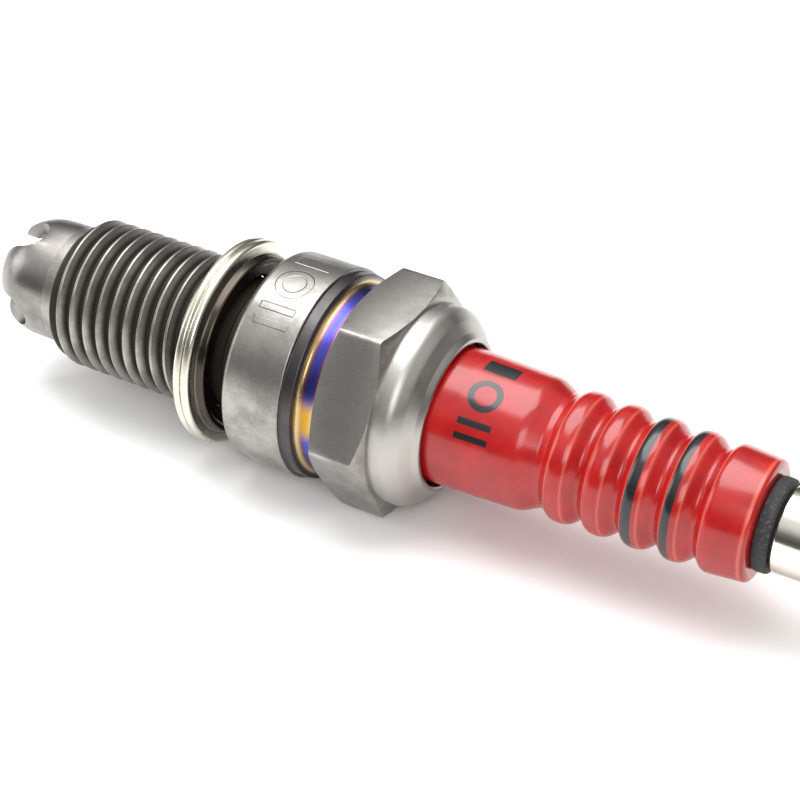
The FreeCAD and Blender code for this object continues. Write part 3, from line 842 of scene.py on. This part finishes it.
@dataclass
class Shell:
    """Plated steel shell: nose, thread, neck, collar, step, tinted groove, hexagon and crimped lip."""

    nose_end: float = -19.0
    nose_radius: float = 4.78
    nose_bore: float = 3.73
    thread_start: float = -17.8
    thread_end: float = -4.4
    thread_crest: float = 5.93
    thread_root: float = 5.24
    thread_pitch: float = 1.25
    thread_inside: float = 4.5
    thread_lead_in: float = 0.6
    neck_radius: float = 5.2
    collar_radius: float = 8.25
    collar_end: float = 5.0
    step_radius: float = 8.0
    groove_start: float = 5.9
    groove_radius: float = 7.3
    hexagon_start: float = 7.7
    hexagon_end: float = 12.2
    hexagon_flats: float = 16.0
    hexagon_chamfer: float = 0.62
    hexagon_corner: float = 0.22
    hexagon_soft: float = 0.07
    hexagon_inside: float = 6.9
    lip_radius: float = 7.7
    lip_bend: float = 13.5
    lip_end: float = 15.4
    lip_bulge: tuple[float, float] = (14.35, 7.0)
    lip_slope: tuple[float, float] = (15.0, 6.2)
    lip_edge: float = 5.85
    lip_mouth: float = 5.5
    bore: float = 6.45
    bore_step: tuple[float, float] = (0.8, 2.4)
    middle_bore: float = 4.2
    ledge: tuple[float, float] = (-12.2, -11.5)
    ledge_radius: float = 3.3
    neck_bead: tuple[float, float] = (-1.9, -1.0)
    bead_rise: float = 0.16
    overlap: float = 0.2

    def turned_body(self) -> Object:
        """Everything that is turned, with the stepped bore inside."""
        bead_start, bead_end = self.neck_bead
        step_start, step_end = self.bore_step
        ledge_start, ledge_end = self.ledge
        corners = [
            (self.nose_end, self.nose_bore),
            (self.nose_end, self.nose_radius),
            (self.thread_start + self.overlap, self.nose_radius),
            (self.thread_start + self.overlap, self.neck_radius - self.overlap),
            (self.thread_end - 0.3, self.neck_radius - self.overlap),
            (self.thread_end - 0.3, self.neck_radius),
            (bead_start, self.neck_radius, 0.05),
            (bead_start + 0.2, self.neck_radius + self.bead_rise, 0.06),
            (bead_end - 0.1, self.neck_radius + self.bead_rise, 0.06),
            (bead_end, self.neck_radius, 0.05),
            (0.0, self.neck_radius, 0.12),
            (0.0, self.collar_radius, 0.5),
            (self.collar_end - 0.02, self.collar_radius, 0.12),
            (self.collar_end, self.step_radius, 0.03),
            (self.groove_start, self.step_radius, 0.12),
            (self.groove_start + 0.05, self.groove_radius, 0.35),
            (self.hexagon_start, self.groove_radius, 0.2),
            (self.hexagon_start, self.lip_radius - 0.15),
            (self.hexagon_end - self.overlap, self.lip_radius - 0.15),
            (self.hexagon_end - self.overlap, self.lip_radius),
            (self.lip_bend, self.lip_radius, 1.1),
            (*self.lip_bulge, 1.5),
            (*self.lip_slope, 0.6),
            (self.lip_end, self.lip_edge, 0.2),
            (self.lip_end, self.lip_mouth, 0.14),
            (self.lip_end - 0.6, self.lip_mouth),
            (self.lip_bend + 0.22, self.bore),
            (step_end, self.bore),
            (step_start, self.middle_bore),
            (ledge_end + 0.6, self.middle_bore),
            (ledge_end, self.ledge_radius),
            (ledge_start, self.ledge_radius),
            (ledge_start - 0.4, self.nose_bore),
        ]
        return turned("shell_turned", rounded(corners))

    def hexagon(self) -> Object:
        """Hexagon with softened corners, chamfered by cones at both ends."""
        corner = self.hexagon_flats / math.sqrt(3)
        length = self.hexagon_end - self.hexagon_start
        clear_selection()
        bpy.ops.mesh.primitive_cylinder_add(vertices=6, radius=corner * MM, depth=length * MM,
                                            location=((self.hexagon_start + length / 2) * MM, 0, 0),
                                            rotation=(0, math.pi / 2, 0))
        piece = bpy.context.object
        apply_place()
        edit(piece)
        select_in_edit(piece, "edges", lambda e: abs(e.verts[0].co.x - e.verts[1].co.x) > length * MM / 2)
        bpy.ops.mesh.bevel(offset=self.hexagon_corner * MM, segments=4, affect="EDGES")
        leave_edit()
        start = self.hexagon_start - 0.001
        end = self.hexagon_end + 0.001
        flat = self.hexagon_flats / 2 + 0.02
        full = corner + 0.05
        blank = turned("hexagon_blank", rounded([
            (start, self.hexagon_inside),
            (start, flat),
            (self.hexagon_start + self.hexagon_chamfer, full),
            (self.hexagon_end - self.hexagon_chamfer, full),
            (end, flat),
            (end, self.hexagon_inside),
        ]))
        cut_with(piece, blank, "INTERSECT")
        soften(piece, self.hexagon_soft, 2, 24.0)
        return piece

    def build(self, finishes: Finishes) -> Object:
        """Make the shell and dress it."""
        tooth = thread_tooth(self.thread_start - self.thread_pitch * 2, self.thread_pitch,
                             self.thread_crest, self.thread_root)
        thread = threaded_tube("shell_thread", self.thread_start, self.thread_end, self.thread_pitch, tooth,
                               self.thread_inside, self.thread_lead_in, self.thread_crest)
        shell = join([self.turned_body(), thread, self.hexagon()], "shell_body")
        smooth(shell, THREAD_CREASE)
        dress(shell, finishes.steel, Body.PLUG, ["shell"])
        return shell


@dataclass
class Crown:
    """Ground crown: a ring that closes into a dome and is slotted into four claws."""

    ring_start: float = -19.0
    radius: float = 4.78
    wall: float = 1.05
    dome_start: float = -21.1
    dome_radius: float = 3.9
    hole: float = 2.7
    slot_width: float = 2.8
    slot_bottom: float = -20.9
    claws: int = 4
    turn: float = 12.0
    soft: float = 0.12

    def dome(self, shrink: float, detail: int = 14) -> Outline:
        """Points of the dome's outer arc, or of its inner one when shrunk by the wall."""
        radius = self.dome_radius - shrink
        rise = self.radius - self.dome_radius
        last = math.asin((self.hole - rise) / radius)
        points = []
        for k in range(detail + 1):
            angle = math.pi / 2 + (last - math.pi / 2) * k / detail
            points.append((self.dome_start - radius * math.cos(angle), rise + radius * math.sin(angle)))
        return points

    def slot_tool(self, degrees: float) -> Object:
        """A round-bottomed bar that cuts one slot."""
        half = self.slot_width / 2
        bottom = self.slot_bottom - half
        clear_selection()
        bpy.ops.mesh.primitive_cylinder_add(vertices=48, radius=half * MM, depth=8 * MM,
                                            location=(bottom * MM, 4.6 * MM, 0),
                                            rotation=(math.pi / 2, 0, 0))
        tool = bpy.context.object
        apply_place()
        edit(tool)
        select_in_edit(tool, "verts", lambda v: v.co.x < bottom * MM - 1e-7)
        bpy.ops.transform.translate(value=(-6 * MM, 0, 0))
        bpy.ops.mesh.select_all(action="SELECT")
        leave_edit()
        tool.rotation_euler = (math.radians(degrees), 0, 0)
        apply_place()
        return tool

    def build(self, finishes: Finishes) -> Object:
        """Make the crown and dress it."""
        outer = self.dome(0.0)
        inner = self.dome(self.wall)
        outline = [(self.ring_start, self.radius - self.wall), (self.ring_start, self.radius)]
        outline += outer + inner[::-1]
        crown = turned("ground_crown_claws", outline)
        for k in range(self.claws):
            cut_with(crown, self.slot_tool(self.turn + 360.0 * k / self.claws), "DIFFERENCE")
        soften(crown, self.soft, 3, 35.0)
        smooth(crown)
        dress(crown, finishes.crown, Body.PLUG, ["ground_crown"])
        return crown


@dataclass
class Gasket:
    """Folded sheet-steel ring."""

    low: float = -4.35
    high: float = -2.25
    rim: float = -2.95
    radius: float = 8.1
    bore: float = 5.42
    face: float = 7.1

    def build(self, finishes: Finishes) -> Object:
        """Make the gasket and dress it."""
        middle = (self.low + self.rim) / 2
        corners = [
            (self.low, self.bore, 0.3),
            (self.low, self.radius, 0.4),
            (middle - 0.05, self.radius, 0.34),
            (middle, self.radius - 0.36, 0.03),
            (middle + 0.05, self.radius, 0.34),
            (self.rim, self.radius, 0.4),
            (self.rim, self.face, 0.15),
            (self.high, self.face - 0.1, 0.25),
            (self.high, self.face - 0.55, 0.2),
            (self.high - 0.25, self.face - 0.7, 0.1),
            (self.high - 0.25, self.bore, 0.3),
            (middle + 0.3, self.bore + 0.1, 0.2),
            (middle, self.bore + 0.3, 0.05),
            (middle - 0.3, self.bore + 0.1, 0.2),
        ]
        ring = turned("gasket_ring_folded", rounded(corners, detail=8))
        smooth(ring)
        dress(ring, finishes.gasket, Body.GASKET, ["gasket"])
        return ring


@dataclass
class Insulator:
    """Glazed insulator with barrel, ribs and cap."""

    barrel: float = 5.2
    barrel_top: float = 5.0
    first_rib: float = 24.85
    rib_pitch: float = 2.87
    rib_land: float = 1.05
    rib_radius: float = 4.88
    rib_taper: float = 0.045
    rib_fall: float = 0.85
    groove: float = 4.12
    groove_flat: float = 0.3
    ribs: int = 4
    nose_end: float = -22.5
    nose_tip: float = 1.95
    nose_radius: float = 2.9
    seat: tuple[float, float] = (-11.5, -10.4)
    middle: float = 4.1
    shoulder: float = 6.35
    shoulder_span: tuple[float, float] = (2.6, 9.0)
    barrel_straight_end: float = 17.0
    barrel_end: float = 22.3
    waist: float = 4.3
    waist_span: tuple[float, float] = (23.62, 24.1)
    top: float = 39.48
    bore: float = 1.95
    small_bore: float = 1.35
    bore_change: float = -6.0

    def rib_corners(self) -> list[tuple[float, ...]]:
        """Corners of the four ribs and the grooves after them."""
        corners = []
        for k in range(self.ribs):
            start = self.first_rib + self.rib_pitch * k
            crest = self.rib_radius - self.rib_taper * k
            low = self.groove - self.rib_taper * k
            corners.append((start, crest, 0.8))
            corners.append((start + self.rib_land, crest, 1.2))
            corners.append((start + self.rib_land + self.rib_fall, low, 0.5))
            corners.append((start + self.rib_land + self.rib_fall + self.groove_flat, low, 0.3))
        return corners

    def build(self, finishes: Finishes) -> Object:
        """Make the insulator and dress it."""
        seat_start, seat_end = self.seat
        shoulder_start, shoulder_end = self.shoulder_span
        waist_start, waist_end = self.waist_span
        cap = self.rib_radius - self.rib_taper * self.ribs
        corners = [
            (self.nose_end, self.small_bore, 0.1),
            (self.nose_end, self.nose_tip, 0.3),
            (seat_start, self.nose_radius),
            (seat_end, self.middle),
            (shoulder_start - 1.6, self.middle),
            (shoulder_start, self.shoulder),
            (shoulder_end, self.shoulder),
            (shoulder_end, self.barrel),
            (self.barrel_straight_end, self.barrel, 4.0),
            (self.barrel_end, self.barrel_top, 1.8),
            (waist_start, self.waist, 0.4),
            (waist_end, self.waist, 0.25),
        ]
        corners += self.rib_corners()
        corners += [
            (self.first_rib + self.rib_pitch * self.ribs, cap, 0.7),
            (self.top - 0.12, cap - 0.26, 0.9),
            (self.top, cap - 0.75, 0.12),
            (self.top, self.bore, 0.15),
            (self.bore_change, self.bore),
            (self.bore_change, self.small_bore),
        ]
        piece = turned("insulator_glazed", rounded(corners, detail=7))
        smooth(piece)
        dress(piece, finishes.glaze, Body.PLUG, ["insulator"])
        return piece


@dataclass
class CoreAndTerminal:
    """Centre electrode, stud, rubber ring and screw-on nut."""

    pin_tip: float = -24.54
    pin_radius: float = 1.25
    pin_head: tuple[float, float] = (-6.0, -4.6)
    pin_head_radius: float = 1.85
    pin_end: float = -3.8
    core_radius: float = 0.75
    core_tip: float = -23.47
    stud_foot: float = 9.0
    flange_start: float = 39.48
    flange_end: float = 40.53
    stud_end: float = 48.58
    foot: float = 1.7
    shank: float = 1.6
    foot_end: float = 12.1
    flange: float = 2.3
    crest: float = 1.95
    thread_core: float = 1.5
    pitch: float = 0.7
    nut_start: float = 40.58
    nut_end: float = 49.98
    nut_radius: float = 3.15
    nut_base_end: float = 43.58
    nut_head: tuple[float, float] = (46.28, 48.5)
    nut_bore: float = 2.0
    waist: float = 2.5
    waist_slope: float = 0.9
    washer_radius: float = 3.45

    def build(self, finishes: Finishes) -> None:
        """Make all four pieces and dress them."""
        self.build_electrode(finishes)
        self.build_stud(finishes)
        self.build_washer(finishes)
        self.build_nut(finishes)

    def build_electrode(self, finishes: Finishes) -> None:
        """Centre electrode with a softened firing edge."""
        head_start, head_end = self.pin_head
        corners = [
            (self.pin_tip, 0.0),
            (self.pin_tip, self.pin_radius, 0.15),
            (head_start, self.pin_radius),
            (head_start, self.pin_head_radius, 0.1),
            (head_end, self.pin_head_radius, 0.1),
            (head_end, self.pin_radius + 0.05),
            (self.pin_end, self.pin_radius + 0.05),
            (self.pin_end, self.core_radius),
            (self.core_tip + 0.77, self.core_radius, 0.6),
            (self.core_tip, 0.0),
        ]
        pin = turned("centre_electrode_pin", rounded(corners, closed=False), closed=False, steps=THIN_STEPS)
        smooth(pin)
        dress(pin, finishes.crown, Body.PLUG, ["centre_electrode"])

    def build_stud(self, finishes: Finishes) -> None:
        """Stud with its foot, flange and M4 thread."""
        thread_start = self.flange_end + 0.35
        corners = [
            (self.stud_foot, 0.0),
            (self.stud_foot, self.foot, 0.2),
            (self.foot_end, self.foot),
            (self.foot_end, self.shank),
            (self.flange_start, self.shank),
            (self.flange_start, self.flange, 0.12),
            (self.flange_end, self.flange, 0.12),
            (self.flange_end, self.thread_core),
            (self.stud_end - 0.1, self.thread_core),
            (self.stud_end - 0.1, 0.0),
        ]
        core = turned("stud_turned", rounded(corners, closed=False), closed=False, steps=THIN_STEPS)
        tooth = thread_tooth(self.flange_end - self.pitch * 2, self.pitch, self.crest, self.crest - 0.38)
        thread = threaded_tube("stud_thread", thread_start, self.stud_end, self.pitch, tooth, 0.4, 0.35,
                               self.crest)
        stud = join([core, thread], "terminal_stud_threaded")
        smooth(stud, THREAD_CREASE)
        dress(stud, finishes.stud, Body.PLUG, ["terminal_stud"])

    def build_washer(self, finishes: Finishes) -> None:
        """Rubber ring with soft edges."""
        edge = self.washer_radius
        corners = [
            (self.flange_start + 0.01, 2.4, 0.1),
            (self.flange_start + 0.01, edge - 0.05, 0.2),
            (self.flange_start + 0.55, edge, 0.3),
            (self.nut_start - 0.01, edge - 0.05, 0.2),
            (self.nut_start - 0.01, 2.4, 0.1),
        ]
        ring = turned("terminal_ring_rubber", rounded(corners))
        smooth(ring)
        dress(ring, finishes.rubber, Body.WASHER, ["terminal_washer"])

    def build_nut(self, finishes: Finishes) -> None:
        """Terminal nut with waist, rounded head and a bore right through."""
        base_end = self.nut_base_end
        head_start, head_end = self.nut_head
        corners = [
            (self.nut_start, 2.3, 0.05),
            (self.nut_start, 2.85, 0.1),
            (self.nut_start + 0.3, self.nut_radius, 0.25),
            (base_end, self.nut_radius, 0.5),
            (base_end + self.waist_slope, self.waist, 0.5),
            (head_start - self.waist_slope, self.waist, 0.5),
            (head_start, self.nut_radius, 0.6),
            (head_end, self.nut_radius, 1.0),
            (head_end + 1.0, self.nut_radius - 0.25, 0.8),
            (self.nut_end, 2.5, 0.15),
            (self.nut_end, self.nut_bore + 0.25, 0.08),
            (self.nut_end - 0.3, self.nut_bore),
            (self.nut_start + 0.3, self.nut_bore),
        ]
        nut = turned("terminal_nut_polished", rounded(corners, detail=7), steps=NUT_STEPS)
        smooth(nut)
        dress(nut, finishes.nickel, Body.NUT, ["terminal_nut"])


@dataclass
class HiddenPieces:
    """Model nodes inside the plug, which keep their shape and get a finish."""

    seals: tuple[str, ...] = ("lower_glass_seal", "upper_glass_seal")
    packings: tuple[str, ...] = ("seat_washer", "lower_packing_ring", "upper_packing_ring")

    def dress_node(self, node: str, material: Material) -> None:
        """Assign a material to every slot of a node's object."""
        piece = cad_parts[node]
        if not piece.material_slots:
            piece.data.materials.append(material)
        for place in piece.material_slots:
            place.material = material
        LOG.info("%s: %s", node, material.name)

    def build(self, finishes: Finishes) -> None:
        """Dress each hidden node."""
        for node in self.packings:
            self.dress_node(node, finishes.packing)
        for node in self.seals:
            self.dress_node(node, finishes.seal)
        self.dress_node("talc_packing", finishes.talc)
        self.dress_node("resistor", finishes.resistor)
        self.dress_node("electrode_core", finishes.copper)


@dataclass
class Studio:
    """Camera, pale floor and soft studio light."""

    camera_place: tuple[float, float, float] = (0.0694, -0.1027, 0.0887)
    camera_way: tuple[float, float, float] = (-0.3973, 0.6932, -0.6014)
    lens: float = 90.0
    floor_height: float = -0.00826
    floor_size: float = 3.0
    lamps: tuple[tuple, ...] = (
        ("top_softbox", (-0.10, 0.10, 0.55), (0.0, 0.0, 0.0), 0.50, 4.2),
        ("front_softbox", (0.25, -0.50, 0.42), (0.01, 0.0, 0.0), 0.35, 1.8),
        ("side_softbox", (-0.55, -0.18, 0.22), (0.0, 0.0, 0.0), 0.30, 1.0),
    )

    def build(self) -> None:
        """Set up camera, floor, world and lamps."""
        bpy.context.scene.view_settings.view_transform = "Standard"
        self.build_camera()
        self.build_floor()
        self.build_world()
        for lamp in self.lamps:
            self.add_lamp(*lamp)

    def build_camera(self) -> None:
        """Camera with a long lens, looking down at the plug from the terminal's side."""
        data = bpy.data.cameras.new("studio_camera")
        data.lens = self.lens
        data.sensor_width = 36.0
        data.clip_start = 0.005
        camera = bpy.data.objects.new("studio_camera", data)
        bpy.context.scene.collection.objects.link(camera)
        camera.location = self.camera_place
        camera.rotation_euler = Vector(self.camera_way).to_track_quat("-Z", "Y").to_euler()
        bpy.context.scene.camera = camera

    def build_floor(self) -> None:
        """White table top."""
        clear_selection()
        bpy.ops.mesh.primitive_plane_add(size=self.floor_size, location=(0, 0, self.floor_height))
        floor = bpy.context.object
        floor.name = "table_top"
        material = bpy.data.materials.new("table_white")
        material.use_nodes = True
        shader = material.node_tree.nodes["Principled BSDF"]
        shader.inputs["Base Color"].default_value = (0.93, 0.93, 0.92, 1.0)
        shader.inputs["Roughness"].default_value = 0.9
        floor.data.materials.append(material)

    def build_world(self) -> None:
        """Bright dome that darkens towards the horizon."""
        world = bpy.data.worlds.new("studio_world")
        bpy.context.scene.world = world
        world.use_nodes = True
        chain = NodeChain(world.node_tree)
        back = world.node_tree.nodes["Background"]
        way = chain.add("ShaderNodeTexCoord").outputs["Generated"]
        split = chain.add("ShaderNodeSeparateXYZ")
        chain.feed(split.inputs[0], way)
        sky = chain.ramp(split.outputs["Z"], [
            (0.0, (0.16, 0.16, 0.15)), (0.2, (0.09, 0.09, 0.085)), (0.42, (0.24, 0.24, 0.235)),
            (0.66, (0.9, 0.9, 0.9)), (1.0, (1.3, 1.3, 1.3)),
        ])
        chain.feed(back.inputs["Color"], sky)
        back.inputs["Strength"].default_value = 0.9

    def add_lamp(self, name: str, place: tuple, target: tuple, size: float, power: float) -> None:
        """One square area lamp aimed at a target.

        Args:
            name: Name of the lamp.
            place: Its position in metres.
            target: The point that it faces.
            size: Its side in metres.
            power: Its power in watts.
        """
        data = bpy.data.lights.new(name, "AREA")
        data.shape = "SQUARE"
        data.size = size
        data.energy = power
        lamp = bpy.data.objects.new(name, data)
        bpy.context.scene.collection.objects.link(lamp)
        lamp.location = place
        lamp.rotation_euler = (Vector(target) - Vector(place)).to_track_quat("-Z", "Y").to_euler()


def main() -> None:
    """Build the studio and every sub-assembly in order."""
    logging.basicConfig(level=logging.INFO, format="%(message)s")
    Studio().build()
    finishes = Finishes()
    Shell().build(finishes)
    Crown().build(finishes)
    Gasket().build(finishes)
    Insulator().build(finishes)
    CoreAndTerminal().build(finishes)
    HiddenPieces().build(finishes)


if __name__ == "__main__":
    main()
